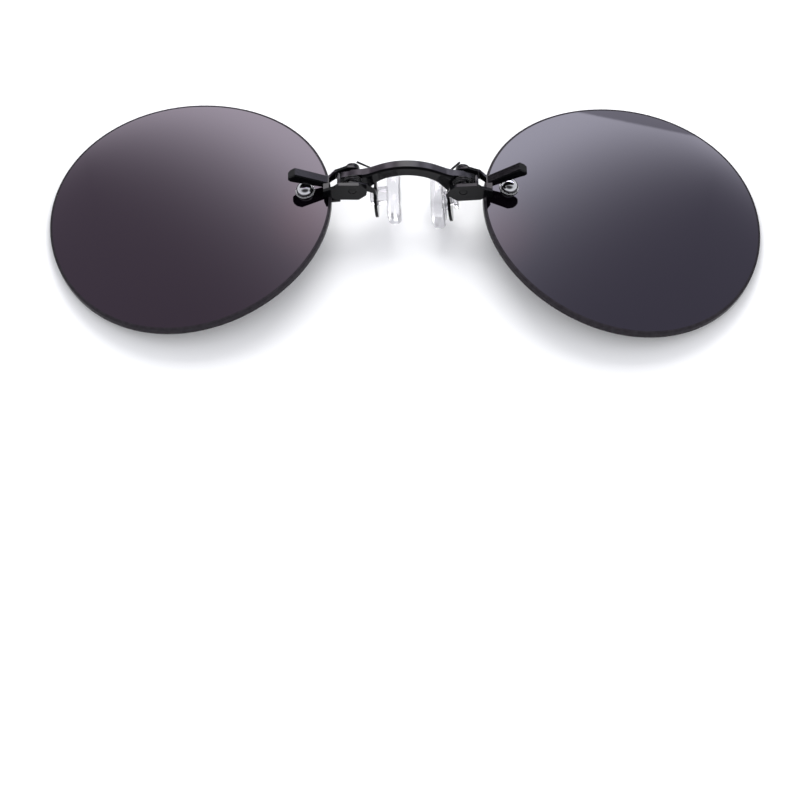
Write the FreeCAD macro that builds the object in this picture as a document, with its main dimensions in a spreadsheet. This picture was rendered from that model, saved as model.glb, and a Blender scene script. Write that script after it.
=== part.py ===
"""Rimless round sunglasses that clip on to the nose with two spring-loaded finger levers.

The glasses lie on their back: X runs across the face, +Y towards the brow and +Z out of the
front of the lenses. The origin is under the middle of the bridge, on the surface they lie on.
Every left and right pair is made by one function; "u" is the distance outboard from the middle.
"""

import FreeCAD, Part
import math
import os
import re
import Sketcher

Vector = FreeCAD.Vector
Rotation = FreeCAD.Rotation
Placement = FreeCAD.Placement

SIDES = {"left": -1, "right": 1}
ACROSS = Vector(1, 0, 0)
BROWWARD = Vector(0, 1, 0)
NO_TURN = Rotation()

# Driving dimensions, in millimetres and degrees.
DIMENSIONS = {
    # lens: a flat disc whose outline swells a little three times round
    "lens_radius": 23.3,
    "lens_lobe_cos": -0.242,
    "lens_lobe_sin": 0.265,
    "lens_thick": 1.3,
    "lens_bevel": 0.12,
    "lens_mid_u": 35.752,
    "lens_mid_z": 4.5,
    "wrap_angle": 8.05,
    # screw joint through each lens, measured from the middle of the lens
    "hole_reach": 19.28,
    "left_hole_rise": 2.4,
    "right_hole_rise": 3.5,
    "washer_thick": 0.2,
    "washer_radius": 1.6,
    "screw_radius": 0.6,
    "screw_head_radius": 1.25,
    "screw_head_thick": 0.6,
    "screw_slot_width": 0.3,
    "screw_slot_depth": 0.25,
    "bushing_radius": 0.95,
    "fit_gap": 0.02,
    "dome_radius": 1.42,
    "dome_height": 1.35,
    "dome_round": 1.2,
    "nut_depth": 0.85,
    # strap that carries each lens from the end of the bridge
    "strap_thick": 0.6,
    "strap_low_y": 1.95,
    "strap_high_y": 4.2,
    "strap_front_z": 10.0,
    "strap_half_y": 1.1,
    "strap_end_u": 18.3,
    "strap_round": 1.0,
    # bridge
    "bridge_half_y": 0.85,
    "bridge_edge": 0.12,
    "bridge_lip": 0.3,
    "bridge_end_u": 10.9,
    "bridge_recess_u": 7.5,
    "bridge_recess": 0.4,
    # pivot, a pin that stands along Y
    "pivot_u": 9.0,
    "pivot_z": 9.75,
    "pin_radius": 0.6,
    "pin_head_radius": 1.15,
    "pin_head_thick": 0.68,
    "pin_low_y": 0.45,
    "run_gap": 0.05,
    # finger lever, from the pivot
    "plate_low_y": 0.4,
    "plate_thick": 0.6,
    "arm_low_y": 4.31,
    "arm_thick": 0.5,
    "plate_inboard": 2.3,
    "plate_front": 1.45,
    "plate_back": 2.2,
    "arm_half": 1.25,
    "wall_near_u": 3.8,
    "wall_far_u": 4.75,
    "wall_front": -0.2,
    "wall_back": 1.6,
    "finger_low_y": 2.15,
    "finger_high_y": 3.85,
    "finger_tip_u": 9.35,
    "finger_root_z": -0.15,
    "finger_tip_z": 1.5,
    "finger_root_thick": 1.35,
    "finger_tip_thick": 1.8,
    "finger_end_cut": 1.1,
    "finger_end_round": 0.4,
    "left_finger_rise": 0.25,
    "right_finger_rise": 1.05,
    "finger_edge": 0.18,
    # pad arm and paddle, from the pivot
    "strip_thick": 0.4,
    "eye_radius": 1.45,
    "left_paddle_u": 3.2,
    "right_paddle_u": 2.5,
    "paddle_thick": 0.5,
    "paddle_mid_y": 2.2,
    "paddle_half_y": 3.0,
    "paddle_half_z": 2.0,
    "paddle_mid_z": 4.76,
    "paddle_round": 1.7,
    "paddle_slot": 1.3,
    # silicone nose pad, from the inboard face of the paddle
    "pad_reach": 2.69,
    "pad_half_y": 5.25,
    "pad_half_z": 2.6,
    "pad_thick": 2.25,
    "left_pad_y": 2.7,
    "right_pad_y": 3.1,
    "stem_mid_y": 2.9,
    "pad_round": 1.0,
    "stem_half_y": 1.25,
    "stem_half_z": 1.1,
    "button_half": 1.15,
    "button_thick": 0.75,
    # how far open each lever and each pad arm lies, and how far the right pad sits into its arm
    "left_open": 0.0,
    "right_open": 6.0,
    "left_arm_turn": -7.0,
    "right_arm_turn": 10.0,
    "left_pad_push": 0.0,
    "right_pad_push": 1.0,
    "left_button_gap": 0.0,
    "right_button_gap": 0.35,
    # torsion spring on the pivot
    "wire_radius": 0.19,
    "coil_radius": 1.45,
    "coil_low_y": 1.44,
    "coil_pitch": 0.35,
}

# Stations of the bridge bar: u, middle of its height, front face and back face.
BRIDGE_STATIONS = (
    (0.0, 4.35, 12.08, 10.03),
    (2.5, 4.22, 11.95, 9.82),
    (4.45, 3.95, 11.60, 9.20),
    (5.4, 3.78, 11.33, 8.50),
    (6.4, 3.58, 11.08, 7.45),
    (7.4, 3.39, 10.97, 7.50),
    (9.0, 3.36, 10.80, 7.75),
    (10.9, 3.36, 10.10, 8.45),
)
# Bends of the spring legs, from the pivot and outboard: u, y and z. Both legs pass behind the
# bridge the same way, and each has its own last bend and free end.
SPRING_LEG = (Vector(-1.3, 2.33, -2.15), Vector(-2.25, 2.43, -2.7), Vector(-2.3, 4.75, -2.7))
SPRING_HOOKS = {
    "left": (Vector(-2.85, 6.3, -1.05), Vector(-0.75, 7.4, -1.0)),
    "right": (Vector(-2.1, 5.7, -1.1), Vector(-0.4, 7.5, -1.0)),
}
COIL_TURNS = 3

doc = FreeCAD.newDocument("finger_lever_sunglasses")
sheet = doc.addObject("Spreadsheet::Sheet", "dims")
for row, (alias, value) in enumerate(DIMENSIONS.items(), start=1):
    sheet.set("A%d" % row, alias)
    sheet.set("B%d" % row, str(value))
    sheet.setAlias("B%d" % row, alias)
doc.recompute()

sub_parts = []


def size(name):
    """The value of a driving dimension."""
    return float(sheet.get(name))


def named(words):
    """Turn plain dimension names in an expression into references to the sheet."""
    return re.sub(
        "[a-z_]+",
        lambda word: "dims." + word.group() if word.group() in DIMENSIONS else word.group(),
        words,
    )


def outboard(side, corners):
    """Mirror an outline, given for the right side, on to the side it belongs to."""
    return [("%d * (%s)" % (side, u), z) for u, z in corners]


def new_body(label, placement=None):
    """An empty body, registered as a sub-part."""
    body = doc.addObject("PartDesign::Body", label)
    body.Label = label
    if placement is not None:
        body.Placement = placement
    sub_parts.append(body)
    return body


def new_sketch(body, plane_role, offset="0"):
    """A sketch on one of the body's own origin planes, moved along that plane's normal."""
    sketch = body.newObject("Sketcher::SketchObject", body.Name + "_sketch")
    plane = next(f for f in body.Origin.OriginFeatures if f.Role == plane_role)
    sketch.AttachmentSupport = [(plane, "")]
    sketch.MapMode = "FlatFace"
    sketch.setExpression("AttachmentOffset.Base.z", named(offset))
    return sketch


def polygon(sketch, corners):
    """A closed outline; each corner is a pair of expressions and is held by them."""
    exact = [[named(str(value)) for value in corner] for corner in corners]
    points = [Vector(*[float(sketch.evalExpression(e)) for e in corner], 0) for corner in exact]
    lines = []
    for start, end in zip(points, points[1:] + points[:1]):
        lines.append(sketch.addGeometry(Part.LineSegment(start, end), False))
    for line, following in zip(lines, lines[1:] + lines[:1]):
        sketch.addConstraint(Sketcher.Constraint("Coincident", line, 2, following, 1))
    for line, point, corner in zip(lines, points, exact):
        for kind, value, expression in zip(("DistanceX", "DistanceY"), point, corner):
            index = sketch.addConstraint(Sketcher.Constraint(kind, -1, 1, line, 1, value))
            sketch.setExpression("Constraints[%d]" % index, expression)


def circle(sketch, across, along, radius):
    """A circle held at a place by expressions, with its radius bound."""
    exact = [named(str(value)) for value in (across, along, radius)]
    at_x, at_y, at_r = [float(sketch.evalExpression(e)) for e in exact]
    ring = sketch.addGeometry(Part.Circle(Vector(at_x, at_y, 0), Vector(0, 0, 1), at_r), False)
    for kind, value, expression in (("DistanceX", at_x, exact[0]), ("DistanceY", at_y, exact[1])):
        index = sketch.addConstraint(Sketcher.Constraint(kind, -1, 1, ring, 3, value))
        sketch.setExpression("Constraints[%d]" % index, expression)
    index = sketch.addConstraint(Sketcher.Constraint("Radius", ring, at_r))
    sketch.setExpression("Constraints[%d]" % index, exact[2])


def pad_between(body, plane_role, corners, low, high):
    """Extrude an outline between two levels along the normal of an origin plane."""
    sketch = new_sketch(body, plane_role, "-(%s)" % high if plane_role == "XZ_Plane" else low)
    polygon(sketch, corners)
    pad = body.newObject("PartDesign::Pad", body.Name + "_pad")
    pad.Profile = sketch
    pad.setExpression("Length", named("(%s) - (%s)" % (high, low)))
    doc.recompute()
    return pad


def cut_along(body, sketch, length):
    """Cut a sketch through the body, against the sketch's normal, and make sure it removes."""
    before = body.Shape.Volume
    pocket = body.newObject("PartDesign::Pocket", body.Name + "_pocket")
    pocket.Profile = sketch
    pocket.setExpression("Length", named(length))
    doc.recompute()
    if body.Shape.Volume > before - 1e-4:
        raise RuntimeError(body.Label + ": a cut removed nothing")


def round_edges(body, chosen, radius, kind="Fillet"):
    """Fillet or chamfer the edges that a test picks out."""
    base = body.Tip
    names = [
        "Edge%d" % index
        for index, edge in enumerate(base.Shape.Edges, start=1)
        if chosen(edge)
    ]
    if not names:
        raise RuntimeError(body.Label + ": no edge to round")
    rounding = body.newObject("PartDesign::" + kind, body.Name + "_" + kind.lower())
    rounding.Base = (base, names)
    rounding.setExpression("Radius" if kind == "Fillet" else "Size", named(radius))
    doc.recompute()


def runs_along(edge, direction):
    """Whether an edge is straight and parallel to a direction."""
    if not isinstance(edge.Curve, Part.Line):
        return False
    return abs(abs(edge.Curve.Direction.dot(direction)) - 1) < 1e-3


def middle_of(edge):
    """The middle of an edge's box."""
    return edge.BoundBox.Center


def turned(label, outline, placement):
    """A turned piece: an outline of radius and height, revolved about its own Z."""
    body = new_body(label, placement)
    sketch = new_sketch(body, "XZ_Plane")
    polygon(sketch, outline)
    lathe = body.newObject("PartDesign::Revolution", label + "_lathe")
    lathe.Profile = sketch
    lathe.ReferenceAxis = (sketch, ["V_Axis"])
    lathe.Angle = 360
    doc.recompute()
    return body


def ring_outline(inner, outer, low, high):
    """The section of a plain ring."""
    return [(inner, low), (outer, low), (outer, high), (inner, high)]


def lens_placement(side):
    """Where a lens stands: its front face tips back towards the temple."""
    middle = Vector(side * size("lens_mid_u"), 0, size("lens_mid_z"))
    return Placement(middle, Rotation(BROWWARD, side * size("wrap_angle")))


def hole_rise(side):
    """How far towards the brow a lens is drilled."""
    return size("left_hole_rise" if side < 0 else "right_hole_rise")


def hole_placement(side):
    """The middle of the lens hole on the front face, with Z along the lens normal."""
    hole = Vector(-side * size("hole_reach"), hole_rise(side), 0)
    return lens_placement(side).multiply(Placement(hole, NO_TURN))


def pivot_placement(side, opened=0.0):
    """The pivot, turned by how far the lever is open."""
    pivot = Vector(side * size("pivot_u"), 0, size("pivot_z"))
    return Placement(pivot, Rotation(BROWWARD, -side * opened))


def behind_lens(u, depth):
    """Height of a plane behind the front face of the lens, as an expression in u."""
    return "lens_mid_z - ((%s) - lens_mid_u) * tan(wrap_angle) - (%s) / cos(wrap_angle)" % (
        u,
        depth,
    )


def make_lens(name, side):
    """A flat lens with a drilled hole near the bridge."""
    points = []
    count = 36
    for step in range(count):
        angle = 2 * math.pi * step / count
        radius = (
            size("lens_radius")
            + size("lens_lobe_cos") * math.cos(3 * angle)
            + size("lens_lobe_sin") * math.sin(3 * angle)
        )
        points.append(Vector(side * radius * math.cos(angle), radius * math.sin(angle), 0))
    rim = Part.BSplineCurve()
    rim.interpolate(points, PeriodicFlag=True)
    face = Part.Face(Part.Wire(rim.toShape()))
    disc = face.extrude(Vector(0, 0, -size("lens_thick")))
    outer_edges = [e for e in disc.Edges if e.BoundBox.DiagonalLength > size("lens_radius")]
    flat_edges = [e for e in outer_edges if e.BoundBox.ZLength < 1e-6]
    disc = disc.makeChamfer(size("lens_bevel"), flat_edges)
    at_hole = Vector(-side * size("hole_reach"), hole_rise(side), -2 * size("lens_thick"))
    drill = Part.makeCylinder(
        size("bushing_radius") + size("fit_gap"), 4 * size("lens_thick"), at_hole
    )
    lens = doc.addObject("Part::Feature", name + "_lens")
    lens.Label = name + "_lens"
    lens.Shape = disc.cut(drill)
    lens.Placement = lens_placement(side)
    sub_parts.append(lens)


def make_screw_joint(name, side):
    """Screw, dome nut, two washers and the bushing that hold one lens to its strap."""
    at_hole = hole_placement(side)
    front = "washer_thick"
    back = "-lens_thick - washer_thick"
    behind = "-lens_thick - washer_thick - strap_thick"
    bore = "screw_radius + fit_gap"
    turned(
        name + "_front_washer",
        ring_outline(bore, "washer_radius", "0", front),
        at_hole,
    )
    turned(
        name + "_rear_washer",
        ring_outline(bore, "washer_radius", back, "-lens_thick"),
        at_hole,
    )
    turned(
        name + "_lens_bushing",
        ring_outline(bore, "bushing_radius", "-lens_thick", "0"),
        at_hole,
    )
    screw = turned(
        name + "_lens_screw",
        [
            ("0", behind + " - screw_head_thick"),
            ("screw_head_radius", behind + " - screw_head_thick"),
            ("screw_head_radius", behind),
            ("screw_radius", behind),
            ("screw_radius", "washer_thick + nut_depth"),
            ("0", "washer_thick + nut_depth"),
        ],
        at_hole,
    )
    slot = new_sketch(screw, "XY_Plane", behind + " - screw_head_thick + screw_slot_depth")
    half_slot = "screw_slot_width / 2"
    polygon(
        slot,
        [
            ("-2 * screw_head_radius", "-" + half_slot),
            ("2 * screw_head_radius", "-" + half_slot),
            ("2 * screw_head_radius", half_slot),
            ("-2 * screw_head_radius", half_slot),
        ],
    )
    cut_along(screw, slot, "screw_head_thick")
    dome = turned(
        name + "_dome_nut",
        [
            ("screw_radius + fit_gap", front),
            ("dome_radius", front),
            ("dome_radius", front + " + dome_height"),
            ("0", front + " + dome_height"),
            ("0", front + " + nut_depth + fit_gap"),
            ("screw_radius + fit_gap", front + " + nut_depth + fit_gap"),
        ],
        at_hole,
    )
    top = size("washer_thick") + size("dome_height")
    round_edges(
        dome,
        lambda e: e.BoundBox.XLength > 2 * size("dome_radius") - 0.1
        and abs(e.BoundBox.ZMin - top) < 1e-3
        and e.BoundBox.ZLength < 1e-3,
        "dome_round",
    )


def make_strap(name, side):
    """The strip that leaves the end of the bridge, passes the lens edge and lies behind it."""
    body = new_body(name + "_lens_strap")
    near = "bridge_end_u"
    bend = "bridge_end_u + strap_thick"
    front_face = "lens_thick + washer_thick"
    back_face = "lens_thick + washer_thick + strap_thick"
    tab_end = "strap_end_u - strap_thick * sin(wrap_angle)"
    wall = [
        (near, "strap_front_z"),
        (bend, "strap_front_z"),
        (bend, behind_lens(bend, back_face)),
        (near, behind_lens(near, back_face)),
    ]
    tab = [
        (near, behind_lens(near, front_face)),
        ("strap_end_u", behind_lens("strap_end_u", front_face)),
        (tab_end, behind_lens(tab_end, back_face)),
        (near, behind_lens(near, back_face)),
    ]
    hole_y = name + "_hole_rise"
    pad_between(body, "XZ_Plane", outboard(side, wall), "strap_low_y", "strap_high_y")
    pad_between(
        body,
        "XZ_Plane",
        outboard(side, tab),
        hole_y + " - strap_half_y",
        hole_y + " + strap_half_y",
    )
    normal = Rotation(BROWWARD, side * size("wrap_angle")).multVec(Vector(0, 0, 1))
    round_edges(
        body,
        lambda e: runs_along(e, normal)
        and abs(middle_of(e).x) > size("strap_end_u") - size("strap_thick"),
        "strap_round",
    )
    bore = new_sketch(body, "XY_Plane")
    bore.setExpression("AttachmentOffset.Base.z", None)
    bore.AttachmentOffset = hole_placement(side)
    circle(bore, "0", "0", "screw_radius + fit_gap")
    cut_along(body, bore, "4 * lens_thick")


def loft_bridge(body, stations, ruled):
    """Add a length of the bridge's bar through its stations: x, height, front and back."""
    sections = []
    for x, mid_y, front, back in stations:
        sketch = new_sketch(body, "YZ_Plane", str(x))
        low = "%s - bridge_half_y" % mid_y
        high = "%s + bridge_half_y" % mid_y
        polygon(
            sketch,
            [
                (low + " + bridge_edge", back),
                (high + " - bridge_edge", back),
                (high, "%s + bridge_edge" % back),
                (high, "%s - bridge_edge" % front),
                (high + " - bridge_edge", front),
                (low + " + bridge_lip", front),
                (low, "%s - bridge_lip" % front),
                (low, "%s + bridge_edge" % back),
            ],
        )
        sections.append(sketch)
    loft = body.newObject("PartDesign::AdditiveLoft", "bridge_loft")
    loft.Profile = sections[0]
    loft.Sections = sections[1:]
    loft.Ruled = ruled
    doc.recompute()


def make_bridge():
    """The arched bar, with a straight-sided boss at each end that is bored for the pin."""
    body = new_body("bridge")
    arch = BRIDGE_STATIONS[:-2]
    mirrored = [(-u, y, front, back) for u, y, front, back in reversed(arch[1:])]
    loft_bridge(body, mirrored + list(arch), False)
    for side in SIDES.values():
        boss = [(side * u, y, front, back) for u, y, front, back in BRIDGE_STATIONS[-3:]]
        loft_bridge(body, boss, True)
        recess = new_sketch(body, "XY_Plane", "pivot_z + 3")
        floor = "%s - bridge_half_y + bridge_recess" % BRIDGE_STATIONS[-1][1]
        polygon(
            recess,
            [
                ("%d * bridge_recess_u" % side, "0"),
                ("%d * (bridge_end_u + 1)" % side, "0"),
                ("%d * (bridge_end_u + 1)" % side, floor),
                ("%d * bridge_recess_u" % side, floor),
            ],
        )
        cut_along(body, recess, "6")
        bore = new_sketch(body, "XZ_Plane", "0")
        circle(bore, "%d * pivot_u" % side, "pivot_z", "pin_radius")
        cut_along(body, bore, "8")


def make_pin(name, side):
    """The headed pivot pin, fast in the bridge."""
    upright = pivot_placement(side).multiply(Placement(Vector(), Rotation(ACROSS, -90)))
    head = "arm_low_y + arm_thick + run_gap"
    pin = turned(
        name + "_pivot_pin",
        [
            ("0", "pin_low_y"),
            ("pin_radius", "pin_low_y"),
            ("pin_radius", head),
            ("pin_head_radius", head),
            ("pin_head_radius", head + " + pin_head_thick"),
            ("0", head + " + pin_head_thick"),
        ],
        upright,
    )
    top = size("arm_low_y") + size("arm_thick") + size("run_gap") + size("pin_head_thick")
    round_edges(
        pin,
        lambda e: abs(e.BoundBox.ZMin - top) < 1e-3 and e.BoundBox.ZLength < 1e-3
        and e.BoundBox.XLength > size("pin_head_radius"),
        "pin_head_thick / 3",
    )


def add_finger(body, name, side):
    """Loft the finger out of the cross wall: it slopes to the front and towards the brow."""
    rise = name + "_finger_rise"
    end_u = "finger_tip_u + finger_end_cut"
    end_z = "finger_tip_z - finger_tip_thick"
    last = "finger_tip_z - 0.75 * finger_end_cut"
    stations = (
        ("wall_near_u + 0.2", "0", "finger_root_z", "finger_root_z - finger_root_thick", "0"),
        ("finger_tip_u", rise, "finger_tip_z", end_z + " - 0.2", "0"),
        (end_u + " - finger_end_round", rise, last + " + 0.75 * finger_end_round", end_z, "0"),
        (end_u, rise, last, end_z, "0.75 * finger_end_round"),
    )
    sections = []
    for u, lift, front, back, inset in stations:
        sketch = new_sketch(body, "YZ_Plane", "%d * (%s)" % (side, u))
        low = "finger_low_y + " + lift + " + " + inset
        high = "finger_high_y + " + lift + " - " + inset
        polygon(
            sketch,
            [
                (low + " + finger_edge", back),
                (high + " - finger_edge", back),
                (high, back + " + finger_edge"),
                (high, front + " - finger_edge"),
                (high + " - finger_edge", front),
                (low + " + finger_edge", front),
                (low, front + " - finger_edge"),
                (low, back + " + finger_edge"),
            ],
        )
        sections.append(sketch)
    loft = body.newObject("PartDesign::AdditiveLoft", body.Name + "_finger")
    loft.Profile = sections[0]
    loft.Sections = sections[1:]
    loft.Ruled = True
    doc.recompute()


def make_lever(name, side):
    """Fork and finger lever in one piece: two plates on the pin, a cross wall and the finger."""
    body = new_body(name + "_lever", pivot_placement(side, size(name + "_open")))
    lower_plate = [
        ("-plate_inboard", "-0.45 * plate_back"),
        ("-plate_inboard", "0.35 * plate_front"),
        ("-0.5 * plate_inboard", "plate_front"),
        ("0.6 * wall_near_u", "plate_front"),
        ("0.8 * wall_near_u", "0.4 * plate_front"),
        ("wall_far_u", "wall_front"),
        ("wall_far_u", "-wall_back"),
        ("0.93 * wall_near_u", "-wall_back"),
        ("0.7 * wall_near_u", "-plate_back"),
        ("-0.45 * plate_inboard", "-plate_back"),
    ]
    pad_between(
        body,
        "XZ_Plane",
        outboard(side, lower_plate),
        "plate_low_y",
        "plate_low_y + plate_thick",
    )
    round_edges(
        body,
        lambda e: runs_along(e, BROWWARD)
        and -side * middle_of(e).x > 0.4 * size("plate_inboard"),
        "0.9 * plate_thick",
    )
    arm_top = "arm_low_y + arm_thick"
    joggled_arm = [
        ("-arm_half", "arm_low_y"),
        ("0.7 * wall_near_u", "arm_low_y"),
        ("wall_near_u", "finger_high_y - arm_thick"),
        ("wall_far_u", "finger_high_y - arm_thick"),
        ("wall_far_u", "finger_high_y"),
        ("wall_near_u + 0.1", "finger_high_y"),
        ("0.74 * wall_near_u", arm_top),
        ("-arm_half", arm_top),
    ]
    pad_between(body, "XY_Plane", outboard(side, joggled_arm), "-wall_back", "arm_half")
    trimmed = new_sketch(body, "XZ_Plane", "-arm_low_y + 2 * arm_thick")
    polygon(
        trimmed,
        outboard(
            side,
            [
                ("0.7 * arm_half", "arm_half"),
                ("0.65 * wall_near_u", "0.28 * arm_half"),
                ("wall_near_u", "wall_front"),
                ("wall_far_u + 0.1", "wall_front"),
                ("wall_far_u + 0.1", "2 * arm_half"),
                ("0.7 * arm_half", "2 * arm_half"),
            ],
        ),
    )
    cut_along(body, trimmed, "4 * arm_thick")
    round_edges(
        body,
        lambda e: runs_along(e, BROWWARD)
        and abs(-side * middle_of(e).x - size("arm_half")) < 1e-3
        and middle_of(e).y > size("arm_low_y"),
        "0.9 * arm_half",
    )
    cross_wall = [
        ("wall_near_u", "-wall_back"),
        ("wall_far_u", "-wall_back"),
        ("wall_far_u", "wall_front"),
        ("wall_near_u", "wall_front"),
    ]
    pad_between(
        body, "XZ_Plane", outboard(side, cross_wall), "plate_low_y", "finger_high_y"
    )
    add_finger(body, name, side)
    bore = new_sketch(body, "XZ_Plane", "1")
    circle(bore, "0", "0", "pin_radius + run_gap")
    cut_along(body, bore, "8")


def paddle_window(half_y, half_z, mid_y="stem_mid_y"):
    """A rectangle on the paddle's plane, as corners in Y and Z."""
    return [
        ("%s - %s" % (mid_y, half_y), "-paddle_mid_z - " + half_z),
        ("%s + %s" % (mid_y, half_y), "-paddle_mid_z - " + half_z),
        ("%s + %s" % (mid_y, half_y), "-paddle_mid_z + " + half_z),
        ("%s - %s" % (mid_y, half_y), "-paddle_mid_z + " + half_z),
    ]


def make_pad_arm(name, side):
    """The thin arm from the pivot to the paddle that holds the nose pad."""
    body = new_body(name + "_pad_arm", pivot_placement(side, size(name + "_arm_turn")))
    low = "plate_low_y + plate_thick"
    near_face = name + "_paddle_u"
    far_face = near_face + " + paddle_thick"
    strip = [
        ("0.35 * eye_radius", "eye_radius"),
        ("-0.6 * eye_radius", "0.85 * eye_radius"),
        ("-0.8 * " + near_face, "0.4 * eye_radius"),
        ("-(%s)" % far_face, "-0.9 * eye_radius"),
        ("-(%s)" % far_face, "-paddle_mid_z"),
        ("-" + near_face, "-paddle_mid_z"),
        ("-" + near_face, "-1.1 * eye_radius"),
        ("-0.6 * " + near_face, "-0.6 * eye_radius"),
        ("-0.3 * eye_radius", "-eye_radius"),
        ("0.6 * eye_radius", "-0.85 * eye_radius"),
        ("eye_radius", "0"),
    ]
    pad_between(body, "XZ_Plane", outboard(side, strip), low, low + " + strip_thick")
    levels = ("-(%s)" % far_face, "-" + near_face) if side > 0 else (near_face, far_face)
    paddle = paddle_window("paddle_half_y", "paddle_half_z", "paddle_mid_y")
    pad_between(body, "YZ_Plane", paddle, *levels)
    round_edges(
        body,
        lambda e: runs_along(e, ACROSS)
        and abs(abs(middle_of(e).y - size("paddle_mid_y")) - size("paddle_half_y")) < 1e-3,
        "paddle_round",
    )
    slot = new_sketch(body, "YZ_Plane", levels[1])
    polygon(slot, paddle_window("paddle_slot / 2", "paddle_slot / 2"))
    cut_along(body, slot, "paddle_thick + 0.2")
    bore = new_sketch(body, "XZ_Plane", "1")
    circle(bore, "0", "0", "pin_radius + run_gap")
    cut_along(body, bore, "8")


def make_nose_pad(name, side):
    """The silicone pad: cushion, stem block, neck through the paddle and rear button."""
    body = new_body(name + "_nose_pad", pivot_placement(side, size(name + "_arm_turn")))
    outer_face = name + "_paddle_u"
    inner_face = outer_face + " + paddle_thick"
    cushion = "%s + pad_reach - %s_pad_push" % (inner_face, name)
    button = "%s - %s_button_gap" % (outer_face, name)

    def block(half_y, half_z, near, far, mid_y="stem_mid_y"):
        levels = (near, far) if side < 0 else ("-(%s)" % far, "-(%s)" % near)
        pad_between(body, "YZ_Plane", paddle_window(half_y, half_z, mid_y), *levels)

    near_face = cushion + " - pad_thick / 2"
    far_face = cushion + " + pad_thick / 2"
    block("pad_half_y", "pad_half_z", near_face, far_face, name + "_pad_y")
    round_edges(body, lambda e: runs_along(e, ACROSS), "pad_half_z - 0.05")
    round_edges(body, lambda e: e.BoundBox.XLength < 1e-3, "pad_round")
    block("stem_half_y", "stem_half_z", inner_face, near_face + " + 0.3")
    neck = "(paddle_slot / 2 - fit_gap)"
    block(neck, neck, button + " - 0.1", inner_face + " + 0.1")
    block("button_half", "button_half", button + " - button_thick", button)


def rod(points, radius):
    """A bent wire as straight rods with a ball at each bend."""
    wire = Part.makeSphere(radius, points[0])
    for start, end in zip(points, points[1:]):
        run = end.sub(start)
        wire = wire.fuse(Part.makeCylinder(radius, run.Length, start, run))
        wire = wire.fuse(Part.makeSphere(radius, end))
    return wire


def make_spring(name, side):
    """The torsion spring: turns round the pin and a leg that passes behind the bridge."""
    radius = size("wire_radius")
    coil = size("coil_radius")
    first = size("coil_low_y") + radius
    shape = None
    for turn in range(COIL_TURNS):
        middle = Vector(0, first + turn * size("coil_pitch"), 0)
        loop = Part.makeTorus(coil, radius, middle, BROWWARD)
        shape = loop if shape is None else shape.fuse(loop)
    start = Vector(0, first + (COIL_TURNS - 1) * size("coil_pitch"), -coil)
    leg = [
        Vector(side * point.x, point.y, point.z)
        for point in (start, *SPRING_LEG, *SPRING_HOOKS[name])
    ]
    shape = shape.fuse(rod(leg, radius)).removeSplitter()
    spring = doc.addObject("Part::Feature", name + "_torsion_spring")
    spring.Label = name + "_torsion_spring"
    spring.Shape = shape
    spring.Placement = pivot_placement(side)
    sub_parts.append(spring)


make_bridge()
for side_name, side_sign in SIDES.items():
    make_lens(side_name, side_sign)
    make_screw_joint(side_name, side_sign)
    make_strap(side_name, side_sign)
    make_pin(side_name, side_sign)
    make_lever(side_name, side_sign)
    make_pad_arm(side_name, side_sign)
    make_nose_pad(side_name, side_sign)
    make_spring(side_name, side_sign)
doc.recompute()

for item in doc.Objects:
    if "Invalid" in item.State or "Error" in item.State:
        raise RuntimeError("%s failed: %s" % (item.Label, item.State))
for part in sub_parts:
    if part.Shape.isNull() or not part.Shape.isValid():
        raise RuntimeError(part.Label + " has no valid shape")
    if len(part.Shape.Solids) != 1:
        raise RuntimeError("%s is %d solids" % (part.Label, len(part.Shape.Solids)))

os.makedirs("parts", exist_ok=True)
for part in sub_parts:
    part.Shape.exportStep("parts/%s.step" % part.Label)
    print("%-22s %8.2f mm3" % (part.Label, part.Shape.Volume))
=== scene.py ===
"""Looks of the finger-lever sunglasses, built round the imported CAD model.

Every place is in the CAD's own frame, in metres: X across the face, +Y towards the brow, +Z out of
the lens fronts, with the origin on the surface that the glasses lie on. Shapes are worked out in
millimetres and scaled once, by MM.
"""

import math

import bmesh
import bpy
from mathutils import Matrix, Vector


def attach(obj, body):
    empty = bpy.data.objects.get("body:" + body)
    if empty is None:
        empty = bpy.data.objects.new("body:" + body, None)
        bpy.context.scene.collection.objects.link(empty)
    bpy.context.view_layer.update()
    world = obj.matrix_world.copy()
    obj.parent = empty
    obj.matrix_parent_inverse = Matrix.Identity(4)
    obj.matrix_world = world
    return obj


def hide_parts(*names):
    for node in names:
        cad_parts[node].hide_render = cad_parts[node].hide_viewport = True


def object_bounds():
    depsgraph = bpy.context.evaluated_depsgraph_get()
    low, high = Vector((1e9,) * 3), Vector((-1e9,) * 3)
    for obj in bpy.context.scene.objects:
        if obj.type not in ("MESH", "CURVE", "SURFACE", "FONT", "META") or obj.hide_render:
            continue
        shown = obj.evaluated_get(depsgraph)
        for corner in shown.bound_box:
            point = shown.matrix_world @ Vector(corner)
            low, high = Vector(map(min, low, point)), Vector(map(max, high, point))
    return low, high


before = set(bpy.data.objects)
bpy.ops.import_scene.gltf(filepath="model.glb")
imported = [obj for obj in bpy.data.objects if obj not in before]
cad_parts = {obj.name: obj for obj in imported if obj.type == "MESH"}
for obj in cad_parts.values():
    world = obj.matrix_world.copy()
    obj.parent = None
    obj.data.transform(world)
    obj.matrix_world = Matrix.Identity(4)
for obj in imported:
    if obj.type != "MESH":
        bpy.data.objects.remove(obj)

CAD_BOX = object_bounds()
MM = 0.001
SIDES = {"left": -1, "right": 1}

# Lens, as in the CAD: a round outline that swells a little three times round.
LENS_RADIUS = 23.29
LENS_LOBES = (-0.242, 0.265)
LENS_THICK = 1.3
LENS_MIDDLE = (35.752, 4.5)
LENS_WRAP = 8.05
HOLE_REACH = 19.28
HOLE_RISE = {"left": 2.4, "right": 3.5}
HOLE_RADIUS = 0.97
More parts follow.
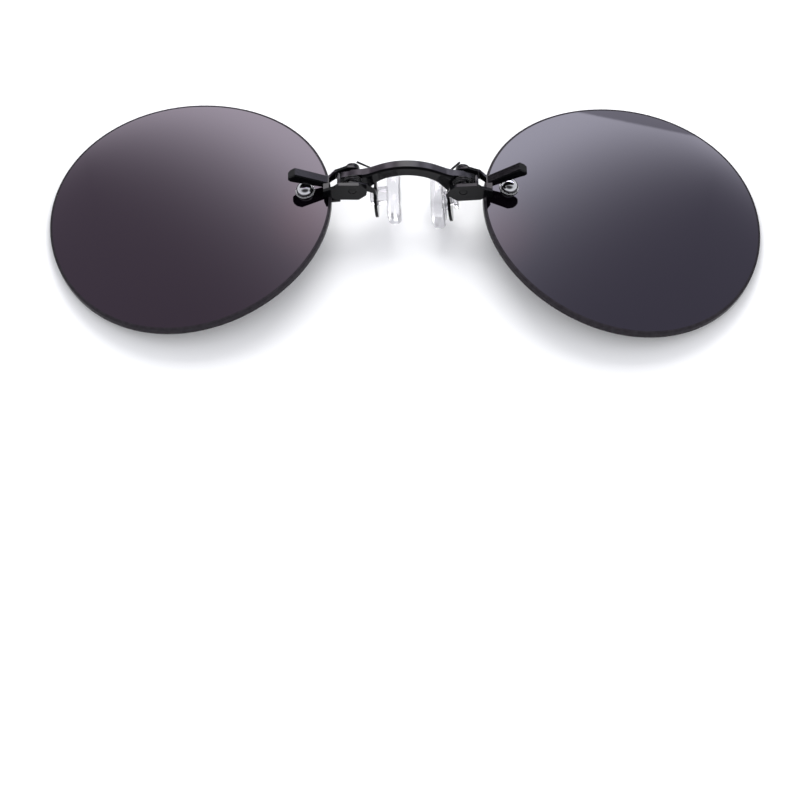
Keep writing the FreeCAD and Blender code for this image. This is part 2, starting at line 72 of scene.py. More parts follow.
# Pivots of the levers and pad arms, and how far each arm is turned.
PIVOT = (9.0, 9.75)
ARM_TURN = {"left": -7.0, "right": 10.0}
PADDLE_REACH = {"left": 3.2, "right": 2.5}
PADDLE_THICK = 0.5
PAD_DEPTH = -4.76
STEM_Y = 2.9


# ---------------------------------------------------------------- camera, floor and light

VIEW_AZIMUTH = -2.71
VIEW_ELEVATION = 55.73
VIEW_ROLL = 2.61
VIEW_DISTANCE = 0.4
VIEW_OFFSET = (0.00115, 0.030451)
FOCAL_LENGTH = 109.93
SENSOR_WIDTH = 36
NEAREST_SEEN = 0.01


def axes_of_view(azimuth, elevation, roll=0.0):
    """Right, up and backward axes of a view that looks at the object from an angle."""
    az, el, ro = (math.radians(a) for a in (azimuth, elevation, roll))
    back = Vector((math.sin(az) * math.cos(el), -math.cos(az) * math.cos(el), math.sin(el)))
    level = Vector((math.cos(az), math.sin(az), 0))
    upright = back.cross(level)
    right = level * math.cos(ro) + upright * math.sin(ro)
    up = upright * math.cos(ro) - level * math.sin(ro)
    return right, up, back


def placed(right, up, back, place):
    """A matrix with these axes at this place."""
    turn = Matrix((right, up, back)).transposed().to_4x4()
    return Matrix.Translation(place) @ turn


def make_camera():
    """The camera, looking down from in front at the height of the lenses."""
    right, up, back = axes_of_view(VIEW_AZIMUTH, VIEW_ELEVATION, VIEW_ROLL)
    aim = Vector((0, 0, LENS_MIDDLE[1] * MM))
    data = bpy.data.cameras.new("camera")
    data.sensor_width = SENSOR_WIDTH
    data.lens = FOCAL_LENGTH
    data.clip_start = NEAREST_SEEN
    camera = bpy.data.objects.new("camera", data)
    place = aim - right * VIEW_OFFSET[0] - up * VIEW_OFFSET[1] + back * VIEW_DISTANCE
    camera.matrix_world = placed(right, up, back, place)
    bpy.context.scene.collection.objects.link(camera)
    bpy.context.scene.camera = camera


# Depth of the surface relief on the finest finishes, in metres.
FINE_RELIEF = 0.00002


class Nodes:
    """A small helper that builds a shader tree by name."""

    def __init__(self, tree):
        self.tree = tree

    def add(self, kind, inputs=None, **settings):
        """Add a node, set its fields, and link or set its inputs."""
        node = self.tree.nodes.new("ShaderNode" + kind)
        for field, value in settings.items():
            setattr(node, field, value)
        for key, value in (inputs or {}).items():
            socket = node.inputs[key]
            if isinstance(value, bpy.types.NodeSocket):
                self.tree.links.new(value, socket)
            else:
                socket.default_value = value
        return node

    def math(self, operation, *values):
        """The output of a Math node."""
        return self.add("Math", dict(enumerate(values)), operation=operation).outputs[0]

    def noise(self, scale, detail):
        """Fractal noise over the object's own coordinates."""
        place = self.add("TexCoord").outputs["Object"]
        inputs = {"Vector": place, "Scale": scale, "Detail": detail}
        return self.add("TexNoise", inputs).outputs["Fac"]

    def bump(self, height, strength, distance=FINE_RELIEF):
        """A normal that follows a height."""
        inputs = {"Height": height, "Strength": strength, "Distance": distance}
        return self.add("Bump", inputs).outputs["Normal"]

    def spread(self, value, least, range_above):
        """A value of 0 to 1 spread over a range that starts at the least."""
        return self.math("MULTIPLY_ADD", value, range_above, least)

    def step(self, value, low, high):
        """Zero below a value and one above another, with an eased rise between."""
        inputs = {"Value": value, "From Min": low, "From Max": high}
        return self.add("MapRange", inputs, interpolation_type="SMOOTHSTEP").outputs["Result"]

    def ramp(self, value, stops):
        """A colour ramp through (position, colour) stops."""
        node = self.add("ValToRGB", {0: value})
        elements = node.color_ramp.elements
        while len(elements) < len(stops):
            elements.new(0.5)
        for element, (position, colour) in zip(elements, stops):
            element.position = position
            element.color = (*colour, 1)
        return node.outputs[0]

    def reverse(self, value):
        """One less a value."""
        return self.math("SUBTRACT", 1.0, value)

    def glow(self, colour, strength):
        """The output of an Emission node."""
        return self.add("Emission", {"Color": colour, "Strength": strength}).outputs[0]

    def link(self, output, socket):
        """Join an output to an input."""
        self.tree.links.new(output, socket)


def new_material(name):
    """An empty material, its Nodes helper and its output node."""
    material = bpy.data.materials.new(name)
    material.use_nodes = True
    material.node_tree.nodes.clear()
    nodes = Nodes(material.node_tree)
    return material, nodes, nodes.add("OutputMaterial")


def add_mesh(name, mesh, *materials):
    """A new object for a mesh, with its materials."""
    for material in materials:
        mesh.materials.append(material)
    piece = bpy.data.objects.new(name, mesh)
    bpy.context.scene.collection.objects.link(piece)
    return piece


def rectangle(name, width, height, material):
    """A flat rectangle in its own XY plane."""
    corners = [(-1, -1), (1, -1), (1, 1), (-1, 1)]
    mesh = bpy.data.meshes.new(name)
    mesh.from_pydata([(x * width / 2, y * height / 2, 0) for x, y in corners], [], [(0, 1, 2, 3)])
    return add_mesh(name, mesh, material)


FLOOR_SIZE = 4.0
FLOOR_COLOUR = (0.9, 0.9, 0.905)
FLOOR_TOOTH_SCALE = 900.0
FLOOR_TOOTH_DEPTH = 0.0002
FLOOR_GAP = 0.00002


def make_floor():
    """A plain pale floor under the glasses, with a faint paper tooth."""
    material, nodes, output = new_material("floor_paper")
    normal = nodes.bump(nodes.noise(FLOOR_TOOTH_SCALE, 3.0), 0.05, FLOOR_TOOTH_DEPTH)
    surface = nodes.add("BsdfDiffuse", {"Color": (*FLOOR_COLOUR, 1), "Normal": normal})
    nodes.link(surface.outputs[0], output.inputs["Surface"])
    floor = rectangle("floor", FLOOR_SIZE, FLOOR_SIZE, material)
    floor.location.z = CAD_BOX[0].z - FLOOR_GAP


WORLD_COLOUR = (0.93, 0.94, 0.98)
WORLD_STRENGTH = 0.95
# Lights: azimuth and elevation, distance, size, and power in watts.
KEY = ((180.0, 50.0), 0.128, (0.1, 0.075), 0.125)
FILL = ((0.0, 42.0), 1.0, (1.2, 0.8), 2.7)


def make_world():
    """Even white surroundings."""
    world = bpy.data.worlds.new("studio")
    bpy.context.scene.world = world
    world.use_nodes = True
    world.node_tree.nodes.clear()
    nodes = Nodes(world.node_tree)
    sky = nodes.add("Background", {"Color": (*WORLD_COLOUR, 1), "Strength": WORLD_STRENGTH})
    output = nodes.add("OutputWorld")
    nodes.link(sky.outputs[0], output.inputs["Surface"])


def make_soft_light(name, angle, distance, size, power):
    """A soft panel light aimed at the middle of the glasses."""
    right, up, back = axes_of_view(*angle)
    data = bpy.data.lights.new(name, "AREA")
    data.shape = "RECTANGLE"
    data.size, data.size_y = size
    data.energy = power
    light = bpy.data.objects.new(name, data)
    light.matrix_world = placed(right, up, back, back * distance)
    light.visible_glossy = False
    bpy.context.scene.collection.objects.link(light)


# The dim card: angle, distance and size. Then, as shares of its half width and half height, where
# it starts and stops brightening towards the sky's strength, and its strength in the middle.
DARK_CARD = ((-2.7, 55.7), 0.45, (1.4, 0.75))
DARK_FADE = (0.3, 1.0)
DARK_STRENGTH = 0.05


def only_mirrored(card):
    """Leave a card to be seen in gloss alone, and keep it off the parts list."""
    for ray in ("camera", "diffuse", "transmission", "volume_scatter", "shadow"):
        setattr(card, "visible_" + ray, False)


def make_dark_card():
    """A dim card about the onlooker, which the polished domes mirror as a band."""
    material, nodes, output = new_material("dark_card")
    angle, distance, size = DARK_CARD
    scale = (2 / size[0], 2 / size[1], 1.0)
    place = nodes.add("Mapping", {"Vector": nodes.add("TexCoord").outputs["Object"], "Scale": scale})
    away = nodes.add("VectorMath", {0: place.outputs["Vector"]}, operation="LENGTH")
    fade = nodes.step(away.outputs["Value"], *DARK_FADE)
    strength = nodes.spread(fade, DARK_STRENGTH, WORLD_STRENGTH - DARK_STRENGTH)
    nodes.link(nodes.glow((*WORLD_COLOUR, 1), strength), output.inputs["Surface"])
    card = rectangle("dark_card", *size, material)
    right, up, back = axes_of_view(*angle)
    card.matrix_world = placed(right, up, back, back * distance)
    only_mirrored(card)


CARD_ANGLE = (180.0, 55.7)
CARD_DISTANCE = 0.5
CARD_SIZE = (0.72, 0.64)
CARD_BORDER = (0.075, 0.06)
CARD_CENTRE = 0.0139
# From the left half to the right half of the card: where one gives way to the other, the tint of
# its light, and the tint of the faint veil over all of it.
CARD_HALVES = (-0.13, 0.13)
CARD_TINTS = ((1.0, 0.9, 1.05), (0.95, 0.93, 0.95), (0.92, 0.9, 1.06))
CARD_VEILS = ((0.74, 0.54, 0.8), (0.65, 0.65, 0.7), (0.68, 0.62, 0.93))
# Brightness grows inwards from an edge that falls away to both sides of a corner: the corner, the
# edge's slope and bend, the main rise with its fall-off and narrowing, a wide haze, and the peak.
CARD_CORNER = (0.158, -0.0526)
CARD_EDGE = (1.029, -8.55)
CARD_RISE = (2.7, 0.0224, 0.2343, 0.006)
CARD_HAZE = (0.36, 0.087)
CARD_PEAK = (6.3, 7.2)
# The middle, which the lenses never mirror, is held back, but for a patch low down.
CARD_MIDDLE = (0.05, 0.13)
CARD_MIDDLE_SHARE = 0.22
CARD_PATCH = (0.03, 0.08)
CARD_PATCH_TOP = (-0.03, 0.03)
CARD_PATCH_STRENGTH = 6.5
# The right half dims below a shelf, and the whole card ends at its foot.
CARD_SHELF = (-0.0912, -0.0902)
CARD_SHELF_DROP = 0.6
CARD_FOOT = (-0.0975, -0.095)
# A warm spot: its middle, radius, strength and colour.
CARD_WARM = (0.146, -0.041)
CARD_WARM_RADIUS = 0.022
CARD_WARM_STRENGTH = 0.5
CARD_WARM_COLOUR = (1.0, 0.3, 0.3)


def three_way(nodes, value, colours):
    """A ramp from one colour through a second, half way, to a third."""
    return nodes.ramp(value, list(zip((0.0, 0.5, 1.0), colours)))


def card_rise(nodes, across, height):
    """The soft box's main light, brightest inside the bent edge."""
    beyond = nodes.math("SUBTRACT", across, CARD_CORNER[0])
    bend = nodes.spread(beyond, *CARD_EDGE)
    edge = nodes.math("SUBTRACT", CARD_CORNER[1], nodes.math("MULTIPLY", beyond, bend))
    inside = nodes.math("SUBTRACT", edge, height)
    share, fall, narrowing, least = CARD_RISE
    fall = nodes.math("MAXIMUM", nodes.spread(beyond, fall, -narrowing), least)
    rise = nodes.math("EXPONENT", nodes.math("DIVIDE", inside, fall))
    haze_share, haze_fall = CARD_HAZE
    haze = nodes.math("EXPONENT", nodes.math("DIVIDE", inside, haze_fall))
    glow = nodes.math("MULTIPLY_ADD", rise, share, nodes.math("MULTIPLY", haze, haze_share))
    return nodes.math("SMOOTH_MIN", glow, *CARD_PEAK)


def card_patch(nodes, across, height):
    """The bright patch low in the middle, which the bridge mirrors: its share of full light."""
    beside = nodes.step(across, *CARD_PATCH)
    above = nodes.step(height, *CARD_PATCH_TOP)
    return nodes.math("MULTIPLY", nodes.reverse(beside), nodes.reverse(above))


def card_warmth(nodes, across, height):
    """The strength of the warm spot."""
    x_off = nodes.math("SUBTRACT", across, CARD_WARM[0])
    y_off = nodes.math("SUBTRACT", height, CARD_WARM[1])
    squares = nodes.math("MULTIPLY_ADD", x_off, x_off, nodes.math("MULTIPLY", y_off, y_off))
    away = nodes.step(nodes.math("SQRT", squares), 0.0, CARD_WARM_RADIUS)
    return nodes.math("MULTIPLY", nodes.reverse(away), CARD_WARM_STRENGTH)


def card_border(nodes, place):
    """Zero inside the soft box, rising to one at its border."""
    border = 0.0
    for axis, size, width in zip("XY", CARD_SIZE, CARD_BORDER):
        from_middle = nodes.math("ABSOLUTE", place[axis])
        margin = nodes.step(from_middle, size / 2 - width, size / 2)
        border = nodes.math("MAXIMUM", border, margin)
    return border


def make_reflected_card():
    """The soft box that the lenses mirror: bright low in the middle, fading up and to the sides."""
    material, nodes, output = new_material("soft_box")
    place = nodes.add("SeparateXYZ", {0: nodes.add("TexCoord").outputs["Object"]}).outputs
    height = place["Y"]
    across = nodes.math("ABSOLUTE", nodes.math("SUBTRACT", place["X"], CARD_CENTRE))
    right_side = nodes.step(place["X"], *CARD_HALVES)
    foot = nodes.step(height, *CARD_FOOT)
    glow = card_rise(nodes, across, height)
    wing = nodes.spread(nodes.step(across, *CARD_MIDDLE), CARD_MIDDLE_SHARE, 1 - CARD_MIDDLE_SHARE)
    glow = nodes.math("MULTIPLY", glow, wing)
    under = nodes.reverse(nodes.step(height, *CARD_SHELF))
    shelf = nodes.math("MULTIPLY", nodes.math("MULTIPLY", under, right_side), CARD_SHELF_DROP)
    glow = nodes.math("MULTIPLY", glow, nodes.reverse(shelf))
    glow = nodes.math("MULTIPLY", glow, foot)
    patch = card_patch(nodes, across, height)
    glow = nodes.math("MULTIPLY_ADD", patch, CARD_PATCH_STRENGTH, glow)
    main = nodes.glow(three_way(nodes, right_side, CARD_TINTS), glow)
    veil = nodes.glow(three_way(nodes, right_side, CARD_VEILS), foot)
    warm = nodes.glow((*CARD_WARM_COLOUR, 1), card_warmth(nodes, across, height))
    sky = nodes.glow((*WORLD_COLOUR, 1), WORLD_STRENGTH)
    both = nodes.add("AddShader", {0: main, 1: veil}).outputs[0]
    lit = nodes.add("AddShader", {0: both, 1: warm}).outputs[0]
    surface = nodes.add("MixShader", {0: card_border(nodes, place), 1: lit, 2: sky})
    nodes.link(surface.outputs[0], output.inputs["Surface"])
    card = rectangle("soft_box", *CARD_SIZE, material)
    right, up, back = axes_of_view(*CARD_ANGLE)
    card.matrix_world = placed(-right, up, -back, back * CARD_DISTANCE)
    only_mirrored(card)


# ---------------------------------------------------------------- materials


# Tones run from the dark to the light of a finish, over the middle of its noise.
TONE_SPAN = (0.3, 0.7)
EDGE_SPAN = (0.35, 0.65)
BLACK_TONES = ((0.0015, 0.0015, 0.002), (0.003, 0.003, 0.0035))
STEEL_TONES = ((0.5, 0.5, 0.52), (0.66, 0.66, 0.68))
LENS_TONES = ((0.0016, 0.001, 0.002), (0.0024, 0.0016, 0.003))
EDGE_TONES = ((0.02, 0.0175, 0.021), (0.028, 0.025, 0.0295))
WIRE_COLOUR = (0.004, 0.004, 0.0045)
SILICONE_TINT = (0.86, 0.855, 0.88)
PLASTIC_TINT = (0.96, 0.96, 0.97)
# Painted shade: how clear plastic's colour darkens from face on to edge on, by a share and then to a
# grey.
SKIRT_BLEND = 0.45
SKIRT_SPAN = (0.25, 0.75, 1.0)
SKIRT_SHADE_SHARE = 0.65
SKIRT_SHADE_GREY = (0.2, 0.2, 0.2)
# Noise scales, in cycles per metre of surface.
BRUSHING = 2600.0
CLOUDING = 350.0
POLISHING = 1800.0
DRAWING = 3000.0
TINT_DRIFT = 40.0
ORANGE_PEEL = 700.0
GRINDING = 1500.0
MOULD_FLOW = 420.0
# Depth of the ripples in moulded plastic, in metres.
RIPPLE_DEPTH = 0.0002


def tones(nodes, value, dark_and_light, span=TONE_SPAN):
    """A finish's tone, from its dark to its light."""
    return nodes.ramp(value, list(zip(span, dark_and_light)))


def finished(name, surface_of):
    """A material whose Principled inputs come from a function of its nodes."""
    material, nodes, output = new_material(name)
    surface = nodes.add("BsdfPrincipled", surface_of(nodes))
    nodes.link(surface.outputs[0], output.inputs["Surface"])
    return material


def black_gloss(nodes):
    """Black plated metal under a clear gloss, with fine brush marks and a cloudy sheen."""
    cloud = nodes.noise(CLOUDING, 2.0)
    return {
        "Base Color": tones(nodes, cloud, BLACK_TONES),
        "Roughness": nodes.spread(cloud, 0.07, 0.08),
        "IOR": 1.48,
        "Specular IOR Level": 0.2,
        "Normal": nodes.bump(nodes.noise(BRUSHING, 4.0), 0.05),
    }


def bright_metal(nodes):
    """Polished steel with a hint of swirl."""
    swirl = nodes.noise(POLISHING, 3.0)
    return {
        "Base Color": tones(nodes, swirl, STEEL_TONES),
        "Metallic": 1.0,
        "Roughness": nodes.spread(swirl, 0.04, 0.06),
    }


def spring_wire(nodes):
    """Blackened drawn wire."""
    drawn = nodes.noise(DRAWING, 2.0)
    return {
        "Base Color": (*WIRE_COLOUR, 1),
        "Roughness": nodes.spread(drawn, 0.2, 0.15),
        "IOR": 1.5,
        "Specular IOR Level": 0.35,
        "Normal": nodes.bump(drawn, 0.15),
    }


def lens_tint(nodes):
    """Polished, very dark lens plastic with a trace of orange peel in its reflection."""
    peel = nodes.noise(ORANGE_PEEL, 2.0)
    return {
        "Base Color": tones(nodes, nodes.noise(TINT_DRIFT, 2.0), LENS_TONES),
        "Roughness": nodes.spread(peel, 0.004, 0.01),
        "IOR": 1.5,
        "Normal": nodes.bump(peel, 0.006),
    }


def lens_rim(nodes):
    """The ground and waxed edge of the lens."""
    grind = nodes.noise(GRINDING, 4.0)
    return {
        "Base Color": tones(nodes, grind, EDGE_TONES, EDGE_SPAN),
        "Roughness": nodes.spread(grind, 0.1, 0.1),
        "IOR": 1.5,
        "Specular IOR Level": 0.03,
        "Normal": nodes.bump(grind, 0.06),
    }


def clear_soft(nodes, tint, ripple):
    """Clear silicone or plastic that bends what is seen through it, its colour greyed at its skirts
    as painted shade.
    """
    flow = nodes.noise(MOULD_FLOW, 2.0)
    # Painted shade: the colour darkens as the surface turns edge on to the view.
    skirt = nodes.add("LayerWeight", {"Blend": SKIRT_BLEND}).outputs["Facing"]
    shades = (tint, tuple(SKIRT_SHADE_SHARE * channel for channel in tint), SKIRT_SHADE_GREY)
    return {
        "Base Color": nodes.ramp(skirt, list(zip(SKIRT_SPAN, shades))),
        "Roughness": nodes.spread(flow, 0.02, 0.06),
        "IOR": 1.41,
        "Transmission Weight": 0.8,
        "Normal": nodes.bump(flow, ripple, RIPPLE_DEPTH),
    }


def clear_silicone(nodes):
    """The pads' soft silicone, a little wavy."""
    return clear_soft(nodes, SILICONE_TINT, 0.25)


def clear_plastic(nodes):
    """The washers' and bushings' harder, flatter plastic."""
    return clear_soft(nodes, PLASTIC_TINT, 0.02)


# ---------------------------------------------------------------- mesh tools


# Angles in degrees: where shading turns crisp on moulded, machined, turned and joined pieces.
MOULDED = 35.0
MACHINED = 40.0
TURNED = 30.0
JOINED = 50.0
# Facets that lean less than the first belong to one flat, and edges past the second are rounded.
FLAT_ANGLE = 1.5
CORNER_ANGLE = 24
# Segments across a rounded edge, on the metal parts and on the pad's blocks.
CORNER_STEPS = 3
BLOCK_STEPS = 4
# Points closer than this are one, in metres: in the CAD's own meshes, and in meshes built here.
WELD_DISTANCE = 1e-6
MERGE_DISTANCE = 1e-8
LATHE_POINTS = 72


def smooth(mesh, angle=MOULDED):
    """Smooth shading that keeps edges sharper than an angle."""
    mesh.shade_smooth()
    mesh.set_sharp_from_angle(angle=math.radians(angle))


def from_bmesh(name, shape, angle=MOULDED):
    """Turn a bmesh into a smoothly shaded mesh with its normals outside."""
    bmesh.ops.recalc_face_normals(shape, faces=shape.faces)
    mesh = bpy.data.meshes.new(name)
    shape.to_mesh(mesh)
    shape.free()
    smooth(mesh, angle)
    return mesh


def finish_piece(piece, body, slot, *nodes):
    """Ride a piece on its body and stand it for CAD nodes."""
    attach(piece, body)
    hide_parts(*nodes)
    return piece


def stack_rings(rings, cap_start=True, cap_end=True):
    """A bmesh skin over rings of points that all have the same count."""
    shape = bmesh.new()
    loops = [[shape.verts.new(Vector(point) * MM) for point in ring] for ring in rings]
    count = len(loops[0])
    for lower, upper in zip(loops, loops[1:]):
        for i in range(count):
            j = (i + 1) % count
            shape.faces.new((lower[i], lower[j], upper[j], upper[i]))
    if cap_start:
        shape.faces.new(loops[0][::-1])
    if cap_end:
        shape.faces.new(loops[-1])
    return shape


def round_off(shape, edges, width, segments=CORNER_STEPS, clamp=True):
    """Round some edges of a bmesh to a width in millimetres."""
    bmesh.ops.bevel(
        shape,
        geom=edges,
        offset=width * MM,
        segments=segments,
        profile=0.5,
        affect="EDGES",
        clamp_overlap=clamp,
    )


def bake_modifiers(piece):
    """Turn the modifiers of a piece into plain mesh."""
    depsgraph = bpy.context.evaluated_depsgraph_get()
    mesh = bpy.data.meshes.new_from_object(piece.evaluated_get(depsgraph))
    piece.modifiers.clear()
    piece.data = mesh


def refined_copy(node, name, width, material):
    """A CAD node's own shape with its edges rounded off, as polishing and plating leave them."""
    shape = bmesh.new()
    shape.from_mesh(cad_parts[node].data)
    bmesh.ops.remove_doubles(shape, verts=shape.verts, dist=WELD_DISTANCE)
    bmesh.ops.dissolve_limit(
        shape, angle_limit=math.radians(FLAT_ANGLE), verts=shape.verts, edges=shape.edges
    )
    sharpest = math.radians(CORNER_ANGLE)
    corners = [e for e in shape.edges if e.is_manifold and e.calc_face_angle(0) > sharpest]
    round_off(shape, corners, width)
    piece = add_mesh(name, from_bmesh(name, shape, MACHINED), material)
    normals = piece.modifiers.new("normals", "WEIGHTED_NORMAL")
    normals.keep_sharp = True
    bake_modifiers(piece)
    return piece


def lathe(name, profile, placement, material):
    """A turned piece: (radius, height) points in millimetres, revolved about the placement's Z."""
    rings = []
    for radius, height in profile:
        ring = []
        for i in range(LATHE_POINTS):
            angle = 2 * math.pi * i / LATHE_POINTS
            ring.append((radius * math.cos(angle), radius * math.sin(angle), height))
        rings.append(ring)
    shape = stack_rings(rings, cap_start=False, cap_end=False)
    bmesh.ops.remove_doubles(shape, verts=shape.verts, dist=MERGE_DISTANCE)
    mesh = from_bmesh(name, shape, TURNED)
    mesh.transform(placement)
    return add_mesh(name, mesh, material)


def arc(centre, radius, start, end, steps):
    """Points of an arc in a section, from a start to an end angle in degrees."""
    points = []
    for i in range(steps + 1):
        angle = math.radians(start + (end - start) * i / steps)
        points.append((centre[0] + radius * math.cos(angle), centre[1] + radius * math.sin(angle)))
    return points


def lens_frame(side):
    """The lens's own frame: its front face at Z zero and its normal along Z."""
    middle = Vector((side * LENS_MIDDLE[0], 0, LENS_MIDDLE[1])) * MM
    turn = Matrix.Rotation(side * math.radians(LENS_WRAP), 4, "Y")
    return Matrix.Translation(middle) @ turn


def hole_frame(name):
    """The middle of the lens hole on the front face."""
    hole = Vector((-SIDES[name] * HOLE_REACH, HOLE_RISE[name], 0)) * MM
    return lens_frame(SIDES[name]) @ Matrix.Translation(hole)


def arm_frame(name):
    """The pivot of a pad arm, turned as the arm stands. Inboard is negative X on the right."""
    side = SIDES[name]
    pivot = Vector((side * PIVOT[0], 0, PIVOT[1])) * MM
    turn = Matrix.Rotation(-side * math.radians(ARM_TURN[name]), 4, "Y")
    return Matrix.Translation(pivot) @ turn


# ---------------------------------------------------------------- pieces

# The lens: its rounded rim, the face's rings as shares of the way from hole to bevel, the bevel.
RIM_POINTS = 288
RIM_ROUND = 0.16
FACE_RINGS = (0.01, 0.3, 0.7, 1.0)
BEVEL_WIDTH = 0.42
BEVEL_DROP = 0.05
RIM_STEPS = 4
# A face whose normal keeps this much of its length along the lens axis is polished.
POLISHED_LEAN = 0.999


def part_materials(mesh):
    """A crisp edge wherever two materials meet, so that neither bends the other's shading."""
    kinds = {}
    for face in mesh.polygons:
        for key in face.edge_keys:
            kinds.setdefault(key, set()).add(face.material_index)
    for edge in mesh.edges:
        if len(kinds[edge.key]) > 1:
            edge.use_edge_sharp = True


def make_lens(name, front, edge):
    """The lens: polished faces, a rounded and ground edge, and the drilled hole."""
    side = SIDES[name]
    hole = Vector((-side * HOLE_REACH, HOLE_RISE[name]))
    outline = []
    for i in range(RIM_POINTS):
        angle = 2 * math.pi * i / RIM_POINTS
        radius = LENS_RADIUS + LENS_LOBES[0] * math.cos(3 * angle)
        radius += LENS_LOBES[1] * math.sin(3 * angle)
        outline.append(Vector((side * radius * math.cos(angle), radius * math.sin(angle))))
    mid = LENS_THICK / 2
    quarter = arc((0, mid - RIM_ROUND), RIM_ROUND, 90, 0, RIM_STEPS)
    back = [(RIM_ROUND - x, -z) for x, z in reversed(quarter)]
    section = [(inset, -z - BEVEL_DROP) for inset, z in reversed(back)] + back

    def rim(inset, z):
        return [(*(p * (1 - inset / LENS_RADIUS)), z - mid) for p in outline]

    def bore(z):
        return [(*(hole + HOLE_RADIUS * (p - hole).normalized()), z - mid) for p in outline]

    def between(share, z):
        return [
            tuple(Vector(a).lerp(Vector(b), share)) for a, b in zip(bore(z), rim(BEVEL_WIDTH, z))
        ]

    rings = [bore(-mid), bore(mid)]
    rings += [between(share, mid) for share in FACE_RINGS]
    rings += [rim(inset, z) for inset, z in section]
    rings += [between(share, -mid) for share in reversed(FACE_RINGS)]
    shape = stack_rings(rings + [rings[0]], cap_start=False, cap_end=False)
    bmesh.ops.remove_doubles(shape, verts=shape.verts, dist=MERGE_DISTANCE)
    shape.normal_update()
    for face in shape.faces:
        face.material_index = 0 if abs(face.normal.z) > POLISHED_LEAN else 1
    mesh = from_bmesh(name + "_tinted_lens", shape, TURNED)
    part_materials(mesh)
    mesh.transform(lens_frame(side))
    lens = add_mesh(name + "_tinted_lens", mesh, front, edge)
    finish_piece(lens, "frame", "tinted_lens", name + "_lens")


# The turned pieces of the screw joint, which share the screw's bore.
SCREW_BORE = 0.62
SCREW_ROUND = 0.06
SLEEVE_RADIUS = 0.95
WASHER_RADIUS = 1.6
WASHER_THICK = 0.2
WASHER_EASE = (0.08, 0.06)
DOME_RADIUS = 1.42
DOME_EASE = 0.04
DOME_SKIRT = 0.36
DOME_MIDDLE = 0.35
DOME_ROUND = 1.2
DOME_HOLLOW = 1.07
DOME_STEPS = 16


def dome_profile():
    """Half the section of the dome nut: a short skirt, a domed top and a blind bore."""
    points = [(SCREW_BORE, WASHER_THICK), (DOME_RADIUS - DOME_EASE, WASHER_THICK)]
    points += [(DOME_RADIUS, WASHER_THICK + DOME_EASE), (DOME_RADIUS, DOME_SKIRT)]
    points += arc((DOME_RADIUS - DOME_ROUND, DOME_MIDDLE), DOME_ROUND, 0, 90, DOME_STEPS)
    points += [(0.0, DOME_MIDDLE + DOME_ROUND), (0.0, DOME_HOLLOW)]
    return points + [(SCREW_BORE, DOME_HOLLOW), points[0]]


def washer_profile(low):
    """Half the section of a washer, with its rim eased."""
    high = low + WASHER_THICK
    across, along = WASHER_EASE
    points = [(SCREW_BORE, low), (WASHER_RADIUS - across, low), (WASHER_RADIUS, low + along)]
    points += [(WASHER_RADIUS, high - along), (WASHER_RADIUS - across, high)]
    return points + [(SCREW_BORE, high), points[0]]


def sleeve_profile():
    """Half the section of the bushing in the lens hole."""
    points = [(SCREW_BORE, -LENS_THICK), (SLEEVE_RADIUS, -LENS_THICK), (SLEEVE_RADIUS, 0)]
    return points + [(SCREW_BORE, 0), points[0]]


def make_screw_joint(name, black, steel, clear):
    """Dome nut, washers, bushing and screw through the lens."""
    at_hole = hole_frame(name)
    nut = lathe(name + "_dome_cap", dome_profile(), at_hole, steel)
    finish_piece(nut, "frame", "polished_steel", name + "_dome_nut")
    for label, low in (("front", 0.0), ("rear", -LENS_THICK - WASHER_THICK)):
        washer = lathe("%s_%s_cushion_washer" % (name, label), washer_profile(low), at_hole, clear)
        finish_piece(washer, "frame", "clear_plastic", "%s_%s_washer" % (name, label))
    bushing = lathe(name + "_hole_sleeve", sleeve_profile(), at_hole, clear)
    finish_piece(bushing, "frame", "clear_plastic", name + "_lens_bushing")
    screw = refined_copy(name + "_lens_screw", name + "_slotted_screw", SCREW_ROUND, black)
    finish_piece(screw, "frame", "black_frame", name + "_lens_screw")


BRIDGE_ROUND = 0.1
# CAD node, piece name, whether it swings with the lever, and how far its edges are rounded.
BLACK_PARTS = (
    ("lens_strap", "lens_strip", False, 0.09),
    ("pivot_pin", "headed_pin", False, 0.05),
    ("lever", "finger_lever", True, 0.17),
    ("pad_arm", "pad_paddle", True, 0.07),
)


def make_black_parts(name, black):
    """Strap, pivot pin, lever and pad arm, with their edges eased."""
    for node, label, swings, width in BLACK_PARTS:
        body = name + "_clamp" if swings else "frame"
        piece = refined_copy("%s_%s" % (name, node), "%s_%s" % (name, label), width, black)
        finish_piece(piece, body, "black_frame", "%s_%s" % (name, node))


# The spring's leg and hook are (outboard, up the pin, out of the face) from the pivot.
WIRE_RADIUS = 0.19
COIL_RADIUS = 1.45
COIL_START = 1.63
COIL_PITCH = 0.39
COIL_TURNS = 2.5
COIL_STEPS = 16
WIRE_STEPS = 4
SPRING_LEG = ((-1.3, 2.33, -2.15), (-2.25, 2.43, -2.7), (-2.3, 4.75, -2.7))
SPRING_HOOKS = {
    "left": ((-2.85, 6.3, -1.05), (-0.75, 7.4, -1.0)),
    "right": ((-2.1, 5.7, -1.1), (-0.4, 7.5, -1.0)),
}


